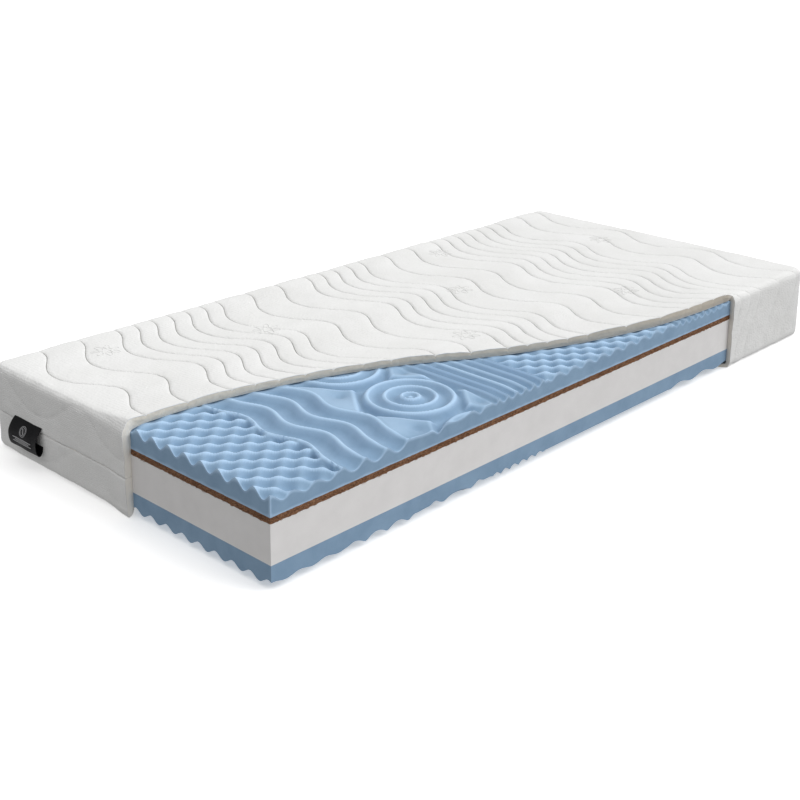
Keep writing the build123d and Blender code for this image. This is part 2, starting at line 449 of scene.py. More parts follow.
def coir_material():
    """Latex-bonded coconut fibre: red-brown, from dark gaps to straw-coloured strands."""
    m = Nodes("coir")
    strands = m.noise(1.0, m.stretched((330, 330, 900)), detail=6.0, rough=0.75)
    clumps = m.noise(130.0, detail=4.0, rough=0.6)
    colour = m.ramp(
        strands,
        (0.36, (0.050, 0.022, 0.010)),
        (0.48, (0.190, 0.085, 0.040)),
        (0.62, (0.500, 0.280, 0.150)),
    )
    colour = m.mix(m.times(clumps, 0.5), colour, (0.12, 0.05, 0.026))
    relief = m.relief((clumps, 0.0012, 0.9), (strands, 0.0007, 0.9))
    return m.surface(Base_Color=colour, Roughness=0.82, Normal=relief, Specular_IOR_Level=0.35)


def woven_material(name, dark, light):
    """Narrow woven tape with ribs across it."""
    m = Nodes(name)
    ribs = m.stripes(260.0, 0.6, "X")
    cross = m.stripes(330.0, 0.4, "Z")
    colour = m.mix(m.times(ribs, cross), dark, light)
    relief = m.relief((ribs, 0.0002, 0.7), (cross, 0.00015, 0.6))
    return m.surface(Base_Color=colour, Roughness=0.75, Normal=relief, Specular_IOR_Level=0.3)


def metal_material():
    """Nickel-plated zinc casting with fine brush marks and handling wear."""
    m = Nodes("nickel")
    marks = m.noise(1.0, m.stretched((300, 2400, 2400)), detail=4.0)
    wear = m.noise(160.0, detail=3.0)
    colour = m.ramp(wear, (0.35, (0.50, 0.49, 0.47)), (0.65, (0.66, 0.655, 0.64)))
    rough = m.math("ADD", m.times(wear, 0.22), 0.20)
    relief = m.relief((marks, 0.00005, 0.5))
    return m.surface(Base_Color=colour, Roughness=rough, Metallic=1.0, Normal=relief)


def nylon_material():
    """Moulded white nylon of the zip's coils."""
    m = Nodes("nylon")
    streaks = m.noise(1.0, m.stretched((900, 900, 250)), detail=3.0)
    colour = m.ramp(streaks, (0.3, (0.62, 0.62, 0.60)), (0.7, (0.74, 0.74, 0.72)))
    return m.surface(Base_Color=colour, Roughness=0.38, Normal=m.relief((streaks, 0.00004, 0.4)))


def satin_material(name, dark, light):
    """Satin ribbon: fine ribs across the ribbon with a soft shine."""
    m = Nodes(name)
    ribs = m.stripes(420.0, 0.3, "Z")
    weave = m.noise(1100.0, detail=3.0)
    colour = m.mix(weave, dark, light)
    relief = m.relief((ribs, 0.00012, 0.5), (weave, 0.00008, 0.5))
    rough = m.math("ADD", m.times(weave, 0.15), 0.55)
    return m.surface(Base_Color=colour, Roughness=rough, Normal=relief, Specular_IOR_Level=0.10)


def floor_material():
    """Pale matt studio floor with a barely visible mottle. Its weak glow fades its shadow."""
    m = Nodes("studio_floor")
    mottle = m.noise(3.0, detail=2.0)
    colour = m.ramp(mottle, (0.3, (0.985, 0.985, 0.985)), (0.7, (0.995, 0.995, 0.995)))
    return m.surface(
        Base_Color=colour, Roughness=0.9, Specular_IOR_Level=0.0,
        Emission_Color=(1.0, 1.0, 1.0), Emission_Strength=0.34,
    )


KNIT = knit_material()
WADDING = wadding_material("wadding", 0.62)
PALE_WADDING = wadding_material("pale_wadding", 0.0)
LINING = lining_material()
BLUE_FOAM = foam_material("blue_foam", (0.232, 0.362, 0.520), (0.280, 0.424, 0.590), 0.0011, TOP_Z - 0.015)
BASE_FOAM = foam_material("base_blue_foam", (0.226, 0.352, 0.505), (0.270, 0.408, 0.568), 0.0011)
WHITE_FOAM = foam_material("white_foam", (0.82, 0.805, 0.80), (0.86, 0.845, 0.84), 0.0009)
COIR = coir_material()
ZIP_TAPE = woven_material("zip_tape", (0.52, 0.52, 0.50), (0.72, 0.72, 0.70))
NICKEL = metal_material()
NYLON = nylon_material()
BLACK_SATIN = satin_material("black_satin", (0.004, 0.004, 0.005), (0.009, 0.009, 0.010))
GREY_THREAD = satin_material("grey_thread", (0.36, 0.36, 0.37), (0.52, 0.52, 0.53))
WHITE_THREAD = satin_material("white_thread", (0.66, 0.66, 0.65), (0.80, 0.80, 0.79))


# ======== Profiled foam ========
CREST_LIFT = 0.0085      # bare crests stand this far over the level of the pressed ones
CUT_DROOP = 0.010        # how far the profile's crests fall away beside the front face
LIFT_REACH = 0.090       # the cut edge lies down again over about this distance
BOWL_PITCH_Y = 0.0483    # egg-crate bowls, across the foam
RIDGE_PITCH = 0.0577     # wavy ridges
RIB_PITCH = 0.0285
TARGET_PITCH = 0.214     # round targets, across the foam
TARGET_R = 0.088
MOAT_R = 0.106           # the sunken ring round a target is at its full depth here

# Where each zone ends along the length. The first two borders follow the wavy ridges' swing.
EGG_1_END = -0.754
WAVES_END = -0.572
RINGS_1_END = -0.340
RIBS_1_END = -0.168
EGG_2_END = 0.322
RIBS_2_END = 0.605
RINGS_2_END = 0.710
BORDERS = [EGG_1_END, WAVES_END, RINGS_1_END, RIBS_1_END, EGG_2_END, RIBS_2_END, RINGS_2_END]
WAVY_BORDERS = 2


def egg_crate(x, y, pitch_x, pit_x, pit_y, depth):
    """Broad staggered bowls between sharp ridges that stand higher one way than the other.
    (pit_x, pit_y) is the middle of one bowl."""
    a = TURN * (x - pit_x) / pitch_x
    b = TURN * (y - pit_y) / BOWL_PITCH_Y
    off_ridge = np.clip((1 + np.cos(a + b)) / 2, 0, 1)
    off_low_ridge = np.clip((1 + np.cos(a - b)) / 2, 0, 1)
    bowl = off_ridge ** 0.75 * (0.58 + 0.42 * off_low_ridge)
    return -depth * (bowl + 0.22 * off_low_ridge * (1 - off_ridge))


def soft_crate(x, y, pitch_x, pit_x, pit_y, depth):
    """The same bowls with rounded ridges, as they are pressed against the floor."""
    a = TURN * (x - pit_x) / pitch_x
    b = TURN * (y - pit_y) / BOWL_PITCH_Y
    return -depth * (1 + 0.64 * np.cos(a + b) + 0.36 * np.cos(a - b)) / 2


def swing(y):
    """Sideways way of the wavy ridges."""
    return 0.011 * np.cos(TURN * (y + 0.150) / 0.170) - 0.011


def wavy_ridges(x, y, x_crest, depth):
    """Narrow ridges across the foam that snake from side to side, with broad valleys."""
    rounding = 0.16
    wave = np.hypot(np.sin(math.pi * (x - x_crest - swing(y)) / RIDGE_PITCH), rounding) - rounding
    return -depth * wave


def rings(x, y, x_middle, y_middle, depth):
    """Rows of round targets in sunken diamonds, with flat lands between them."""
    dx = x - x_middle
    dy = (y - y_middle + TARGET_PITCH / 2) % TARGET_PITCH - TARGET_PITCH / 2
    r = np.hypot(dx, dy)
    ripple = np.abs(np.sin(math.pi * (r - TARGET_R) / 0.0350))
    target = -0.012 * ripple ** 1.1 + 0.009 * np.exp(-((r / 0.007) ** 2))
    moat = -depth * smooth(r, TARGET_R, MOAT_R)
    inside = np.where(r < TARGET_R, target, moat)
    diamond = 1.246 * np.abs(dx) + np.abs(dy)
    middle = np.hypot(np.abs(dx) - 0.094, np.abs(dy) - TARGET_PITCH / 2)
    land = -0.001 - 0.007 * np.exp(-((middle / 0.034) ** 2)) - 0.004 * np.exp(-((middle / 0.013) ** 2))
    return inside + (land - inside) * smooth(diamond, 0.154, 0.186)


def ribs(x, x_crest, depth):
    """Straight narrow ribs across the foam."""
    return -depth * np.abs(np.sin(math.pi * (x - x_crest) / RIB_PITCH)) ** 0.9


def joined(parts, places, halves):
    """One profile from the zones' profiles. For each border, places says how far along the foam every
    point counts, and halves how far the change is eased on either side."""
    height = parts[0]
    for border, part, place, half in zip(BORDERS, parts[1:], places, halves):
        share = smooth(place, border - half, border + half)
        height = height * (1 - share) + part * share
    return height


def zones(x, y):
    """Depth of the profile under its crests, zone after zone along the length."""
    last_pits = 1 + 0.30 * np.exp(-((x + 0.773) / 0.014) ** 2)
    parts = [
        egg_crate(x, y, 0.056, -0.937, -0.130, 0.0170) * last_pits,
        wavy_ridges(x, y, -0.750, 0.0195),
        rings(x, y, -0.447, -0.305, 0.017),
        ribs(x, -0.325, 0.0125),
        egg_crate(x, y, 0.0535, -0.124, -0.4195, 0.0190),
        ribs(x, 0.349, 0.0145),
        rings(x, y, 0.598, -0.303, 0.015),
        wavy_ridges(x, y, 0.750, 0.014),
    ]
    straight = len(BORDERS) - WAVY_BORDERS
    places = [x - swing(y)] * WAVY_BORDERS + [x] * straight
    return joined(parts, places, [0.004] * WAVY_BORDERS + [0.008] * straight)


def front_fall(x, y):
    """How far the crests fall off towards the front face, where the foam was sawn."""
    amount = 0.9 * smooth(x, -0.938, -0.895) * smooth(x, -0.350, -0.480)
    amount = amount + 0.45 * smooth(x, -0.480, -0.350) * smooth(x, -0.160, -0.200)
    amount = amount + 0.3 * smooth(x, 0.320, 0.350)
    return amount * CUT_DROOP * np.exp(-(np.maximum(y + CORE_Y, 0) / 0.024) ** 2)


def under_lift(x):
    """How far the cut edge's underside rests above the core's height."""
    return 0.0050 * smooth(x, 0.330, -0.250) * smooth(x, -0.950, -0.900)


def foam_top(x, y):
    """Top of the upper foam: high where it is bare, pressed to the core's height under the cover."""
    ahead = cut_y(np.minimum(x, CUT_SIDE_X)) - y
    reach = 0.022 - 0.010 * smooth(x, 0.250, 0.400)
    bare = smooth(ahead + 0.006 * smooth(x, 0.360, 0.520), 0.0, reach)
    bare = bare * smooth(x, CUT_SIDE_X + 0.015, CUT_SIDE_X - 0.010)
    under = under_lift(x) * np.exp(-(np.maximum(-ahead, 0) / LIFT_REACH) ** 2)
    free = CREST_LIFT * (1 - 0.7 * smooth(x, 0.300, 0.570))
    squeezed = 0.25 + 0.75 * bare
    return CORE_TOP + under + (free - under) * bare + zones(x, y) * squeezed - front_fall(x, y) * bare


def base_profile(x, y):
    """Depth of the base foam's underside over its crests: the same zones, cut shallower."""
    near = smooth(y, -0.150, -0.350)
    parts = [
        soft_crate(x, y, 0.0635, -0.909, -0.115, 0.0115),
        wavy_ridges(x, y, -0.750, 0.012),
        rings(x, y, -0.450, -0.303, 0.012) - 0.003 * near,
        ribs(x, -0.313, 0.008) - 0.002,
        -0.0065 + 0 * x,
        -0.0085 - 0.0045 * np.cos(TURN * (x - 0.474) / 0.105) + 0.003 * smooth(x, 0.500, 0.560),
        rings(x, y, 0.598, -0.303, 0.009),
        wavy_ridges(x, y, 0.750, 0.009),
    ]
    return joined(parts, [x] * len(BORDERS), [0.010] * len(BORDERS))


def foam_bottom(x, y):
    """Underside of the base foam."""
    return BASE_LO[2] - base_profile(x, y)


def axis_steps(*spans):
    """Coordinates through (start, end, step) spans that follow each other."""
    out = [np.array([spans[0][0]])]
    for start, end, step in spans:
        count = max(1, round((end - start) / step))
        out.append(start + (end - start) * np.arange(1, count + 1) / count)
    return np.concatenate(out)


def foam_outline(x, y):
    """Moves grid points of the square-cornered core onto its rounded hidden corners."""
    radius = 0.014
    ax, ay = CORE_X - radius, CORE_Y - radius
    dx = np.maximum(np.abs(x) - ax, 0)
    dy = np.maximum(np.abs(y) - ay, 0)
    bare_corner = (x < 0) & (y < 0)
    length = np.maximum(np.hypot(dx, dy), 1e-9)
    scale = np.where(bare_corner, 1.0, np.maximum(dx, dy) / length)
    new_x = np.where(dx > 0, np.sign(x) * (ax + dx * scale), x)
    new_y = np.where(dy > 0, np.sign(y) * (ay + dy * scale), y)
    return new_x, new_y


def level(height):
    """Height function of a level face."""
    return lambda x, y: np.full_like(x, height)


def slab(xs, ys, low, high, side_steps):
    """Closed slab of the core's outline between two height functions of x and y."""
    gx, gy = np.meshgrid(xs, ys)
    gx, gy = foam_outline(gx, gy)
    top, bottom = (np.stack([gx, gy, face(gx, gy)], -1).reshape(-1, 3) for face in (high, low))
    return shell(top, bottom, grid_quads(len(ys), len(xs)), side_steps)


SEEN_X = 0.600           # the mesh is fine up to here along the length
SEEN_Y = -0.020          # and up to here across the foam, where the cover hides the rest


def roughen(points, amount, tolerance, where=True):
    """Moves the points of the two bare sawn faces inwards by the amount, and returns which they are."""
    front = where & (points[:, 1] < -CORE_Y + tolerance)
    end = where & (points[:, 0] < -CORE_X + tolerance)
    points[front, 1] += amount[front]
    points[end, 0] += amount[end]
    return front | end


def top_foam():
    """Upper foam, with its profile on top."""
    xs = axis_steps((-CORE_X, -0.155, 0.0031), (-0.155, SEEN_X, 0.0038), (SEEN_X, CORE_X, 0.010))
    ys = axis_steps((-CORE_Y, SEEN_Y, 0.0034), (SEEN_Y, CORE_Y, 0.013))
    points, faces, groups = slab(xs, ys, level(CORE_LO[2]), foam_top, 9)
    return make_piece("top_foam", points, faces, BLUE_FOAM, groups, crease=75)


def base_foam():
    """Lower foam, with its profile underneath."""
    xs = axis_steps((-CORE_X, SEEN_X, 0.0048), (SEEN_X, CORE_X, 0.012))
    ys = axis_steps((-CORE_Y, SEEN_Y, 0.0055), (SEEN_Y, CORE_Y, 0.013))
    points, faces, groups = slab(xs, ys, foam_bottom, level(BASE_HI[2]), 9)
    return make_piece("base_foam", points, faces, BASE_FOAM, groups, crease=75)


def support_foam():
    """Block of white foam whose sawn faces are a little uneven."""
    bottom, top = BLOCK_LO[2], BLOCK_HI[2]
    xs = axis_steps((-CORE_X, CORE_X, 0.012))
    ys = axis_steps((-CORE_Y, CORE_Y, 0.012))
    points, faces, groups = slab(xs, ys, level(bottom), level(top), 7)
    inner = np.abs(points[:, 2] - (bottom + top) / 2) < (top - bottom) * 0.49
    wobble = unevenness(points[:, 0] + points[:, 1], points[:, 2], 5, 14, 0.03, 0.16) * 0.00035
    roughen(points, wobble, 0.001, inner)
    return make_piece("support_foam_block", points, faces, WHITE_FOAM, groups, crease=60)


# ======== Coir ========
FIBRES = 3400
FIBRE_R = 0.00032


def fibre_lines(count, seed):
    """Loose ends of coconut fibre that lie along the two bare faces of the coir."""
    rng = np.random.default_rng(seed)
    on_front = rng.random(count) < 0.78
    run = np.where(on_front, rng.uniform(-CORE_X, CUT_SIDE_X + 0.01, count), 0)
    run = np.where(on_front, run, rng.uniform(-CORE_Y, -0.030, count))
    height = rng.uniform(COIR_LO[2] + 0.0002, COIR_HI[2] - 0.0004, count)
    length = rng.uniform(0.005, 0.016, count)
    tilt = rng.normal(0, 0.35, count)
    bend = rng.normal(0, 0.0011, count)
    stand = np.abs(rng.normal(0, 0.00055, count))
    t = np.linspace(-0.5, 0.5, 6)
    along = run[:, None] + length[:, None] * t * np.cos(tilt)[:, None]
    up = height[:, None] + length[:, None] * t * np.sin(tilt)[:, None] * 0.4
    up = up + bend[:, None] * np.cos(math.pi * t)
    up = np.clip(up, COIR_LO[2] - 0.0008, COIR_HI[2] + 0.0002)
    out = stand[:, None] * np.cos(math.pi * t) - 0.0001
    front = np.stack([along, -CORE_Y - out, up], -1)
    end = np.stack([-CORE_X - out, along, up], -1)
    return np.where(on_front[:, None, None], front, end)


def tubes(line, radius):
    """Three-sided closed tubes along many short lines of points."""
    count, steps, _ = line.shape
    heading = unit(np.gradient(line, axis=1))
    up = np.broadcast_to(np.array([0.0, 0.0, 1.0]), heading.shape)
    side = unit(np.cross(heading, up))
    up = np.cross(side, heading)
    taper = np.array([0.35] + [1.0] * (steps - 2) + [0.35])[None, :, None]
    points = tube_points(line, side, up, radius * taper, 3)
    base = (np.arange(count) * steps * 3)[:, None]
    start = base + np.array([[0, 2, 1]])
    finish = base + (steps - 1) * 3 + np.array([[0, 1, 2]])
    return points, tube_quads(count, steps, 3, False).tolist() + start.tolist() + finish.tolist()


def coir():
    """Coir sheet with a rough, fibrous rim."""
    bottom, top = COIR_LO[2], COIR_HI[2]
    seen_x = CUT_SIDE_X + 0.02
    xs = axis_steps((-CORE_X, seen_x, 0.004), (seen_x, CORE_X, 0.02))
    ys = axis_steps((-CORE_Y, SEEN_Y, 0.004), (SEEN_Y, CORE_Y, 0.02))
    points, faces, _ = slab(xs, ys, level(bottom), level(top), 5)
    rng = np.random.default_rng(11)
    rim = roughen(points, -rng.normal(0, 0.0005, len(points)), 1e-6)
    sag = unevenness(points[:, 0] * 1.3 + points[:, 1], points[:, 2] * 0, 21, 16, 0.006, 0.04)
    rim_low = rim & (points[:, 2] < bottom + 1e-6)
    points[rim_low, 2] -= np.maximum(sag[rim_low], 0) * 0.0010
    fibre_points, fibre_faces = tubes(fibre_lines(FIBRES, 31), FIBRE_R)
    count = len(points)
    all_faces = faces.tolist() + [[i + count for i in f] for f in fibre_faces]
    return make_piece("coir_sheet", np.concatenate([points, fibre_points]), all_faces, COIR)


# ======== Cover ========


def zip_opened(p):
    """1 beside the zip of the long side, 0 where the two covers meet in a thin line."""
    x, y, _ = p.T
    return smooth(x, *RECESS_START) * smooth(x, *RECESS_END) * (y > SIDE_Y - 1e-6)


def zip_gap(p):
    """Half the opening between the two covers: a thin line at the label end, open along the zip."""
    return 0.0006 + 0.0051 * zip_opened(p)


def zip_line(p):
    """Height of the zip's line: it sags a little along the label end, and is straight at the side."""
    x, y, _ = p.T
    near = (x < -END_X + 1e-6) * smooth(SIDE_Y - y, 0.0, 0.12)
    return ZIP_Z - near * (0.0030 + 0.0012 * np.sin(TURN * (y - 0.13) / 0.36))


def spread(p):
    """Unrolled coordinates of points on the sharp box, measured over the top's edges."""
    x, y, z = p.T
    side = np.abs(y) > SIDE_Y - 1e-7
    end = (np.abs(x) > END_X - 1e-7) & ~side
    down = np.where(z < 1e-7, 0, TOP_Z - z)
    return x + np.sign(x) * down * end, y + np.sign(y) * down * side


def quilt_relief(p):
    """How far the quilted fabric stands over (or under) its mean surface."""
    x, y, z = p.T
    s, t = spread(p)
    across = np.linspace(-1, 1, 2001)
    slope = np.interp(t, across, np.gradient(line_wave(across), 0.001))
    q = s - line_wave(t)
    i = np.clip(np.searchsorted(ALL_LINES, q), 1, len(ALL_LINES) - 1)
    gap = ALL_LINES[i] - ALL_LINES[i - 1]
    near = np.minimum(np.abs(q - ALL_LINES[i - 1]), np.abs(q - ALL_LINES[i]))
    d = near / np.sqrt(1 + slope ** 2)
    share = np.clip(2 * near / gap, 0, 1)
    pillow = (0.0010 + 0.018 * gap) * (1 - (1 - share) ** 3.0)
    flat = z > TOP_Z - 1e-7
    stitch = np.where(flat, -0.0028 * np.exp(-(d / 0.0014) ** 2), -0.0016 * np.exp(-(d / 0.0045) ** 2))
    to_end, to_side = END_X - np.abs(x), SIDE_Y - np.abs(y)
    strength = np.where(flat, 0.45 + 0.55 * smooth(np.minimum(to_end, to_side), 0.0, 0.05), 0.45)
    relief = (pillow + stitch) * strength - 0.0018 * strength
    relief += 0.00035 * unevenness(s, t, 3, 24, 0.020, 0.070)
    relief += 0.0008 * unevenness(s, t, 4, 12, 0.120, 0.400)
    return relief * smooth(np.hypot(to_end, to_side), 0.0, 0.030)


def cover_lift(p):
    """How far the loose cut edge stands up: its outer face, and its underside on the bare crests."""
    x, y, z = p.T
    along = np.minimum(x, CUT_SIDE_X)
    behind = np.maximum(y - cut_y(along), 0)
    near = np.exp(-(behind / LIFT_REACH) ** 2) * (z > TOP_Z - 1e-7)
    over = (0.0055 + 0.0045 * smooth(along, -0.935, -0.890)) * smooth(along, -0.954, -0.936)
    over = over * smooth(x, CUT_SIDE_X + 0.012, CUT_SIDE_X - 0.030)
    return near * over, near * under_lift(along)


def end_puff(p):
    """The padding swells out where the label end is cut through."""
    behind = np.maximum(p[:, 1] - CUT_END_Y, 0)
    return 0.0055 * np.exp(-(behind / 0.050) ** 2) * smooth(p[:, 0], -0.880, -0.945)


def cover_faces(p, edge_z=None):
    """Outer and inner surface of the cover for points of the sharp box.
    The fabric folds in at edge_z, the height of the zip's lip beside each point."""
    sign = np.where(p[:, :2] < 0, -1, 1)
    limit = np.array([END_X, SIDE_Y])
    gap = limit - np.abs(p[:, :2])
    into_corner = CORNER_R - gap
    in_corner = (into_corner > 0).all(1)
    out = unit(np.maximum(into_corner, 0)) * sign
    inset = gap.min(1)
    outline = p[:, :2] + out * inset[:, None]
    outline[in_corner] = (sign * (limit - CORNER_R) + out * CORNER_R)[in_corner]
    deep = np.maximum(inset, EDGE_R)
    centre_z = np.clip(p[:, 2], EDGE_R, TOP_Z - EDGE_R)
    tilt = unit(np.stack([deep - inset, p[:, 2] - centre_z], -1))
    normal = np.concatenate([out * tilt[:, :1], tilt[:, 1:]], 1)
    middle = np.concatenate([outline - out * deep[:, None], centre_z[:, None]], 1)
    thick = COVER_T + (BOTTOM_T - COVER_T) * np.maximum(-normal[:, 2], 0)
    outer = middle + normal * EDGE_R
    inner = middle + normal * (EDGE_R - thick)[:, None]
    outer = outer + normal * (quilt_relief(p) + end_puff(p))[:, None]
    over, under = cover_lift(p)
    outer[:, 2] += over
    inner[:, 2] += under
    if edge_z is not None:
        opened = zip_opened(p)
        fold = (0.12 + 0.34 * opened) * (1 - smooth(np.abs(p[:, 2] - edge_z), 0.0, 0.0035 + 0.0035 * opened))
        outer = outer + (inner - outer) * fold[:, None]
    outer[:, 2] = np.maximum(outer[:, 2], 0.0003)
    return outer, inner


EDGE_STEPS = EDGE_R * np.array([0.0, 0.2, 0.42, 0.68, 1.0])


def columns_of_top():
    """Column positions across the top: close together at each quilting line and each edge."""
    near = np.array([-0.0085, -0.0036, -0.0015, 0.0, 0.0015, 0.0036, 0.0085])
    columns = [line + near for line in LINE_X]
    for left, right in zip(LINE_X, LINE_X[1:]):
        count = 2 if right - left < WIDE * 0.75 else 6
        columns.append(np.linspace(left + 0.0085, right - 0.0085, count + 2)[1:-1])
    border = END_X - np.concatenate([EDGE_STEPS, EDGE_R + 0.010 * np.arange(1, 5)])
    columns += [-border, border]
    return np.sort(np.concatenate(columns))


def top_column(u, y):
    """X of column u at y: it swings with the lines, and straightens towards the ends."""
    return u + line_wave(y) * smooth(END_X - np.abs(u), 0.0, 0.075)


def rows_from_cut():
    """Row positions from the cut, 0, to the far edge, 1."""
    far = 1 - EDGE_STEPS / (2 * SIDE_Y)
    near = np.array([0.0, 0.003, 0.008, 0.016, 0.026])
    return np.concatenate([near, np.linspace(near[-1], far[-1], 78)[1:-1], far[::-1]])


COLUMNS = columns_of_top()
ROWS = rows_from_cut()
LIP_STEPS = np.array([0.0, 0.0012, 0.0026, 0.0045, 0.0072])

# The column through the point where the cut leaves the top. It is moved to pass through exactly.
SPLIT_U = CUT_SIDE_X - line_wave(CUT_SIDE_Y)
SPLIT = int(np.argmin(np.abs(COLUMNS - SPLIT_U)))
COLUMNS[SPLIT] = SPLIT_U


def left_block(rows, z):
    """Panel from the cut to the far edge, for the columns up to the cut's end."""
    columns = COLUMNS[: SPLIT + 1]
    start_x = columns
    for _ in range(30):
        start_x = top_column(columns, cut_y(start_x))
    start_x[-1] = CUT_SIDE_X
    start_y = cut_y(start_x)
    y = start_y + (SIDE_Y - start_y) * rows[:, None]
    x = top_column(columns, y)
    x[0] = start_x
    return np.stack([x, y, np.full_like(x, z)], -1)


def right_block(rows, z):
    """Panel from the near edge to the far edge, for the columns past the cut's end."""
    y = np.concatenate([[-SIDE_Y, -SIDE_Y + 0.004], CUT_SIDE_Y + (SIDE_Y - CUT_SIDE_Y) * rows])
    x = np.stack([top_column(u, y) for u in COLUMNS[SPLIT:]], -1)
    x[y <= CUT_SIDE_Y, 0] = CUT_SIDE_X
    y = np.repeat(y[:, None], x.shape[1], 1)
    return np.stack([x, y, np.full_like(x, z)], -1)


def skirt(edge, heights):
    """Points straight below or above an edge line, at each height array."""
    return np.stack([np.concatenate([edge[:, :2], h[:, None]], 1) for h in heights])


def skirt_heights(edge, side, step):
    """Heights from the cover's edge to the zip's lip, as one array for each row."""
    lip = zip_line(edge) + side * zip_gap(edge)
    start = TOP_Z if side > 0 else 0.0
    reach = abs(start - lip)
    count = round((abs(start - ZIP_Z) - EDGE_STEPS[-1] - LIP_STEPS[-1]) / step)
    middle = np.linspace(0, 1, count + 1)[1:-1]
    rows = [start - side * d + 0 * reach for d in EDGE_STEPS]
    far = reach - LIP_STEPS[-1]
    rows += [start - side * (EDGE_STEPS[-1] + (far - EDGE_STEPS[-1]) * m) for m in middle]
    rows += [start - side * (reach - d) for d in LIP_STEPS[::-1]]
    return rows


def front_band(edge):
    """Near side past the cut's end, which runs in one piece from the top to the bottom."""
    middle = axis_steps((EDGE_STEPS[-1], TOP_Z - EDGE_STEPS[-1], 0.0035))[1:]
    depth = np.concatenate([EDGE_STEPS, middle, TOP_Z - EDGE_STEPS[::-1][1:]])
    return skirt(edge, [np.full(len(edge), TOP_Z - d) for d in depth])


def cover_grid(side, rows, skirt_step):
    """Sharp-box points and faces of the upper cover, side 1, or the lower one, side -1.
    Each has a panel and skirts to the zip at the back and both ends."""
    z = TOP_Z if side > 0 else 0.0
    left = left_block(rows, z)
    right = right_block(rows, z)
    if side < 0:
        x = left[..., 0]
        recess = LOWER_RECESS * smooth(x, -END_X, -END_X + 0.05)
        recess = recess * smooth(x, CUT_SIDE_X - 0.001, CUT_SIDE_X - 0.012)
        left[..., 1] += recess * (1 - rows)[:, None]
    back = np.concatenate([left[-1], right[-1, 1:]])
    edges = (back, left[:, 0], right[:, -1])
    skirts = [skirt(edge, skirt_heights(edge, side, skirt_step)) for edge in edges]
    band = [front_band(right[0])] if side > 0 else []
    points, faces = weld([left, right] + skirts + band)
    return points, faces[:, ::side]


def lip_height(p, side):
    """Height of the lip beside each point, or far away where there is none."""
    x, y, _ = p.T
    skirted = (np.abs(x) > END_X - 1e-7) | (y > SIDE_Y - 1e-7)
    return np.where(skirted, zip_line(p) + side * zip_gap(p), -1.0)


def outward_faces(faces, outer, inner):
    """Turns each face so that it looks away from the inner surface."""
    a, b, c = (outer[faces[:, i]] for i in (0, 1, 2))
    away = (outer - inner)[faces[:, 0]]
    wrong = np.einsum("ij,ij->i", np.cross(b - a, c - b), away) < 0
    faces = faces.copy()
    faces[wrong] = faces[wrong][:, ::-1]
    return faces


def layer(name, side, grid, share, material, steps, bulge, rough, seed, inset=0.0):
    """One layer of a cover between two shares of its thickness. Inset keeps its face off the one above."""
    points, faces = grid
    start, end = share
    outer, inner = cover_faces(points, lip_height(points, side))
    faces = outward_faces(faces, outer, inner)
    depth = np.full(len(points), start + inset)
    depth[np.unique(rim_edges(faces))] = start
    top = outer + (inner - outer) * depth[:, None]
    bottom = outer + (inner - outer) * end
    points, faces, groups = shell(top, bottom, faces, steps, bulge, rough, seed)
    return make_piece(name, points, faces, material, groups, crease=75)


def every(values, step, keep=4):
    """Every step-th value, with the first few and the last kept."""
    index = sorted(set(range(keep)) | set(range(0, len(values), step)) | {len(values) - 1})
    return values[index]


KNIT_LAYER = (0.0, KNIT_SHARE)
WADDING_LAYER = (KNIT_SHARE, LINING_SHARE)
LINING_LAYER = (LINING_SHARE, 1.0)


def upper_cover():
    """Knit, wadding and backing of the upper cover."""
    fine = cover_grid(1, ROWS, 0.0035)
    plain = cover_grid(1, every(ROWS, 9), 0.010)
    return [
        layer("upper_cover_knit", 1, fine, KNIT_LAYER, KNIT, 2, 0.0003, 0.0, 1),
        layer("upper_cover_wadding", 1, plain, WADDING_LAYER, WADDING, 7, 0.0016, 0.00022, 2, 0.32),
        layer("upper_cover_backing", 1, plain, LINING_LAYER, LINING, 1, 0.0, 0.0, 3),
    ]


def lower_cover():
    """Knit, wadding and backing of the lower cover."""
    fine = cover_grid(-1, every(ROWS, 2), 0.004)
    plain = cover_grid(-1, every(ROWS, 9), 0.012)
    return [
        layer("lower_cover_knit", -1, fine, KNIT_LAYER, KNIT, 2, 0.0003, 0.0, 5),
        layer("lower_cover_wadding", -1, plain, WADDING_LAYER, PALE_WADDING, 6, 0.0014, 0.0002, 6, 0.32),
        layer("lower_cover_backing", -1, plain, LINING_LAYER, LINING, 1, 0.0, 0.0, 7),
    ]


# ======== Zip ========
TOOTH_PITCH = 0.0022
WIRE_R = 0.00042


def zip_path(depth, pitch, last_x):
    """Points and outward directions along the zip's way at a depth: label end, corner, far side."""
    radius = CORNER_R - depth
    end = -END_X + depth
    side = SIDE_Y - depth
    centre_x, centre_y = end + radius, side - radius
    first = centre_y - CUT_END_Y
    arc = radius * math.pi / 2
    d = np.arange(0.001, first + arc + (last_x - centre_x), pitch)
    turn = np.clip((d - first) / arc, 0, 1) * math.pi / 2
    on_end = d < first
    on_side = d > first + arc
    x = np.where(on_end, end, centre_x - radius * np.cos(turn))
    y = np.where(on_end, CUT_END_Y + d, centre_y + radius * np.sin(turn))
    x = np.where(on_side, centre_x + (d - first - arc), x)
    y = np.where(on_side, side, y)
    out = np.stack([-np.cos(turn), np.sin(turn), 0 * turn], -1)
    return np.stack([x, y, 0 * x], -1), out


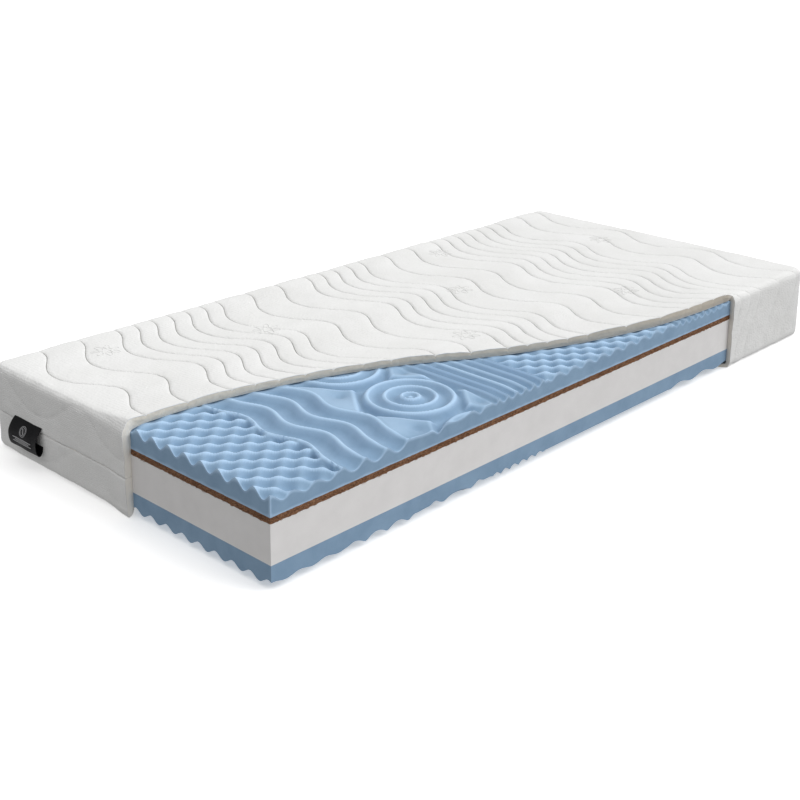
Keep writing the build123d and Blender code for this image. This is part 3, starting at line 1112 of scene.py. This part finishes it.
def coil(name, node):
    """A coil of nylon: one flattened loop for each tooth, leaning along the zip."""
    lo, hi = corners(node)
    depth = -(hi[1] - SIDE_Y) + 0.0008
    centre, out = zip_path(depth, TOOTH_PITCH, hi[0])
    along = np.cross(np.array([0.0, 0.0, 1.0]), out)
    half_height = (hi[2] - lo[2]) / 2
    mid_z = (lo[2] + hi[2]) / 2
    loop = []
    for a in np.linspace(0, TURN, 9)[:-1]:
        lean = 0.00035 * math.sin(a)
        reach = 0.00062 * math.cos(a)
        p = centre + out * reach + along * lean
        loop.append(p + np.array([0, 0, mid_z + half_height * 0.86 * math.sin(a)]))
    loop = np.stack(loop, 1)
    heading = unit(np.roll(loop, -1, 1) - np.roll(loop, 1, 1))
    first = unit(np.cross(heading, along[:, None, :]))
    second = np.cross(heading, first)
    points = tube_points(loop, first, second, WIRE_R, 3)
    piece = make_piece(name, points, tube_quads(*loop.shape[:2], 3, True), NYLON, crease=80)
    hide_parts(node)


# ======== Label ========
MARK_DOWN = 0.024        # from the label's upper seam down to the mark's middle
BARS_DOWN = 0.042        # and to its first bar


def label_path():
    """Side view of the label's loop as (x, z) points, from its upper seam round to its heel."""
    front, _, bottom = LABEL_LO
    back, _, top = LABEL_HI
    belly = bottom + 0.43 * (top - bottom)
    t = np.linspace(0, 1, 25)
    upper_x = back - (back - front) * np.sin(t * math.pi / 2) ** 0.85
    upper_z = top + (belly - top) * t
    a = np.linspace(0, math.pi * 0.93, 14)[1:]
    lower_x = front + (back - front) * 0.5 * (1 - np.cos(a))
    lower_z = belly - (belly - bottom) * 0.98 * np.sin(a)
    return np.stack([np.concatenate([upper_x, lower_x]), np.concatenate([upper_z, lower_z])], -1)


def label_normals(path):
    """Outward directions along the label's side view."""
    heading = unit(np.gradient(path, axis=0))
    normal = np.stack([-heading[:, 1], heading[:, 0]], -1)
    outwards = ((path - path.mean(0)) * normal).sum(1)
    return normal * np.where(outwards < 0, -1, 1)[:, None]


def label():
    """Satin ribbon folded into a loop, a little wavy along its width."""
    path = label_path()
    normal = label_normals(path)
    across = np.linspace(LABEL_LO[1], LABEL_HI[1], 30)
    py, row = np.meshgrid(across, np.arange(len(path)))
    wave = 0.0007 * np.sin(110 * py) * np.sin(math.pi * row / len(path))
    outer = np.stack([path[row, 0] + normal[row, 0] * wave, py, path[row, 1] + normal[row, 1] * wave], -1)
    outer = outer.reshape(-1, 3)
    inner = outer - np.stack([normal[row, 0], 0 * py, normal[row, 1]], -1).reshape(-1, 3) * 0.0008
    faces = outward_faces(grid_quads(len(path), len(across)), outer, inner)
    points, faces, groups = shell(outer, inner, faces)
    return make_piece("label_ribbon", points, faces, BLACK_SATIN, groups, crease=60)


def on_label(across, down):
    """Points on the label's outer face, across from its middle and down from its upper seam."""
    path = label_path()
    normal = label_normals(path)
    way = np.concatenate([[0], np.cumsum(np.linalg.norm(np.diff(path, axis=0), axis=1))])
    x, z = (np.interp(down, way, path[:, i]) for i in (0, 1))
    nx, nz = (np.interp(down, way, normal[:, i]) for i in (0, 1))
    stand = 0.0007
    return np.stack([x + nx * stand, (LABEL_LO[1] + LABEL_HI[1]) / 2 + across, z + nz * stand], -1)


def emblem():
    """Embroidered mark with no meaning: two rings, a bent stem and three bars."""
    a = TURN * np.arange(72) / 72
    lines = []
    for radius in (0.0085, 0.0112):
        lines.append(on_label(radius * np.cos(a), MARK_DOWN + radius * np.sin(a)))
    lines.append(on_label(0.0016 * np.cos(a) - 0.003 * np.sin(a), MARK_DOWN + 0.0055 * np.sin(a)))
    for i, half in enumerate((0.034, 0.026, 0.034)):
        lines.append(on_label(half * np.cos(a), BARS_DOWN + 0.0042 * i + 0.0009 * np.sin(a)))
    return thread("label_emblem", lines, GREY_THREAD)


# ======== Thread ========
THREAD_R = 0.0006
ROSETTE_R = 0.033
ROSETTES = [
    (0.140, 0.074), (0.784, 0.100), (0.435, -0.225), (-0.108, -0.160), (-0.740, 0.330), (0.351, 0.330),
    (-0.400, 0.190),
]


def thread(name, lines, material):
    """Closed loops of thread: tubes along closed lines of points."""
    all_points, all_faces, start = [], [], 0
    sides = 4
    for line in lines:
        heading = unit(np.roll(line, -1, 0) - np.roll(line, 1, 0))
        up = np.broadcast_to(np.array([0.0, 0.0, 1.0]), heading.shape)
        first = unit(np.cross(heading, up) + 1e-9)
        second = np.cross(first, heading)
        all_points.append(tube_points(line[None], first[None], second[None], THREAD_R, sides))
        all_faces.append(tube_quads(1, len(line), sides, True)[:, [0, 3, 2, 1]] + start)
        start += len(line) * sides
    return make_piece(name, np.concatenate(all_points), np.concatenate(all_faces), material, crease=80)


def rosettes():
    """Small stitched flowers between the quilting lines."""
    lines = []
    a = TURN * np.arange(240) / 240
    for x, y in ROSETTES:
        for size, petals in ((1.0, 7), (0.52, 5)):
            r = ROSETTE_R * size * (0.74 + 0.26 * np.cos(petals * a))
            flat = np.stack([x + r * np.cos(a), y + r * np.sin(a), np.full_like(a, TOP_Z)], -1)
            lines.append(cover_faces(flat)[0] + np.array([0.0, 0.0, 0.0001]))
    return thread("rosette_thread", lines, WHITE_THREAD)


# ======== Build ========


def stands_for(piece, node):
    """Hides the CAD node that a foam, coir or quilted piece stands in for."""
    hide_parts(node)


def build():
    """Makes every piece and hides the CAD nodes that the pieces stand in for."""
    stands_for(top_foam(), "top_profiled_foam")
    stands_for(base_foam(), "base_profiled_foam")
    stands_for(support_foam(), "support_foam")
    stands_for(coir(), "coir_layer")
    finishes = (("fabric", "cover_knit"), ("padding", "cover_wadding"), ("lining", "cover_backing"))
    for half, pieces in (("upper", upper_cover()), ("lower", lower_cover())):
        for piece, (layer_name, slot_name) in zip(pieces, finishes):
            stands_for(piece, f"{half}_cover_{layer_name}")
    coil("upper_coil_teeth", "zip_upper_coil")
    coil("lower_coil_teeth", "zip_lower_coil")
    rosettes()
    ribbon = label()
    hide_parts("label_loop")
    mark = emblem()
    for node in ("zip_upper_tape", "zip_lower_tape"):
        dress(node, ZIP_TAPE)
    for node in ("zip_end_stop", "zip_slider", "zip_pull"):
        dress(node, NICKEL)


def dress(node, material):
    """Gives a shown CAD node its finish."""
    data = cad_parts[node].data
    data.materials.clear()
    data.materials.append(material)


# ======== Studio ========


def camera():
    """Camera at the photograph's viewing angle: a little above the near left corner."""
    yaw, pitch, roll = (math.radians(angle) for angle in (46.64, 15.55, -0.556))
    data = bpy.data.cameras.new("camera")
    data.sensor_width = 36.0
    data.lens = 59.49
    data.shift_y = -0.2
    data.clip_end = 200
    holder = add_object("camera", data)
    turn = Matrix.Rotation(-yaw, 4, "Z") @ Matrix.Rotation(math.pi / 2 - pitch, 4, "X")
    turn = turn @ Matrix.Rotation(-roll, 4, "Z")
    holder.matrix_world = Matrix.Translation((-2.2718, -1.9951, 1.2019)) @ turn
    bpy.context.scene.camera = holder


def sun(name, direction, strength, spread_angle):
    """Distant soft lamp that shines from a direction."""
    data = bpy.data.lights.new(name, "SUN")
    data.energy = strength
    data.angle = math.radians(spread_angle)
    lamp = add_object(name, data)
    lamp.rotation_mode = "QUATERNION"
    lamp.rotation_quaternion = (-Vector(direction)).to_track_quat("-Z", "Y")


def studio():
    """Pale floor, a wide soft key from the front right, an overhead and a pale surrounding.
    The surrounding is dimmer from the label end's side."""
    reach = 40.0
    around = [(-reach, -reach, 0), (reach, -reach, 0), (reach, reach, 0), (-reach, reach, 0)]
    mesh = bpy.data.meshes.new("studio_floor")
    mesh.from_pydata(around, [], [[0, 1, 2, 3]])
    mesh.materials.append(floor_material())
    ground = add_object("studio_floor", mesh)
    ground.visible_diffuse = False
    sun("key", (2.8, -3.3, 3.5), 1.45, 45)
    sun("overhead", (-0.1, 0.5, 4.0), 1.05, 80)
    world = Nodes("studio", bpy.data.worlds, "Background")
    direction = world.add("TexCoord").outputs["Generated"]
    strength = world.along("X", -1.0, 1.0, direction, (0.36, 0.48))
    bpy.context.scene.world = world.surface(Color=(1, 1, 1), Strength=strength)
    bpy.context.scene.view_settings.view_transform = "Standard"


camera()
studio()
build()
